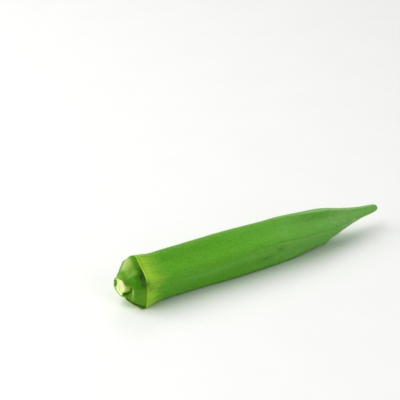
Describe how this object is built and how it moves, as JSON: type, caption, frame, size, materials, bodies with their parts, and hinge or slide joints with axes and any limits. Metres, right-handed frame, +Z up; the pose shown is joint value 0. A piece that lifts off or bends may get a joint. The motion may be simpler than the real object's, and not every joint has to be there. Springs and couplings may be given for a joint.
{
  "type": "okra pod",
  "caption": "Fresh okra pod lying on its side: ridged, tapering green body with a blunt beak, a lobed cap with a ring scar, and a short cut stem stub.",
  "frame": {"origin": "on the surface the pod lies on, under the middle of the pod's box", "axes": "+X along the pod from the cut stem to the tip, +Z up from the surface it lies on, +Y to the side"},
  "size_m": [0.1147, 0.0189, 0.018],
  "materials": {
    "pod_skin": "fresh green pod skin with a soft waxy sheen and fine down"
  },
  "bodies": {
    "root": {"okra_pod": "pod_skin"}
  },
  "joints": []
}
